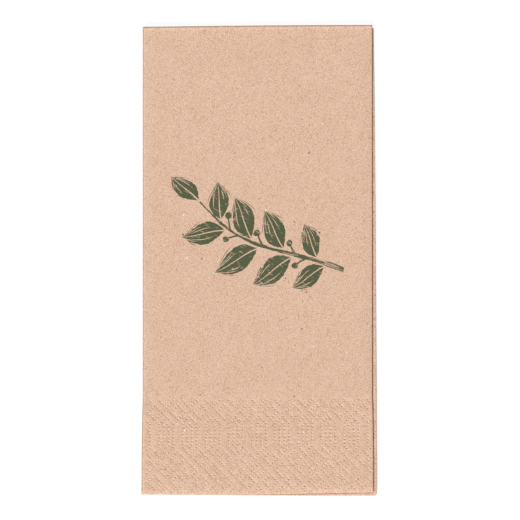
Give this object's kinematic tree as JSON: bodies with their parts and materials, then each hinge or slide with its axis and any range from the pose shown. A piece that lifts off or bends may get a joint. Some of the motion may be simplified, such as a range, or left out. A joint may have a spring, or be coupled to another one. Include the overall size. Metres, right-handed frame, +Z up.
{
  "type": "folded paper napkin",
  "caption": "Tissue paper napkin folded to a flat rectangle, with a dotted embossed border beside its open edges.",
  "frame": {"origin": "centre of the underside of the folded napkin's box", "axes": "+Z up out of the front panel, +Y towards the first fold, -Y towards the open embossed edges, -X at the last fold"},
  "size_m": [0.0996, 0.2, 0.0023],
  "materials": {
    "tissue": "matte unbleached recycled tissue"
  },
  "bodies": {
    "root": {"napkin": "tissue"}
  },
  "joints": []
}
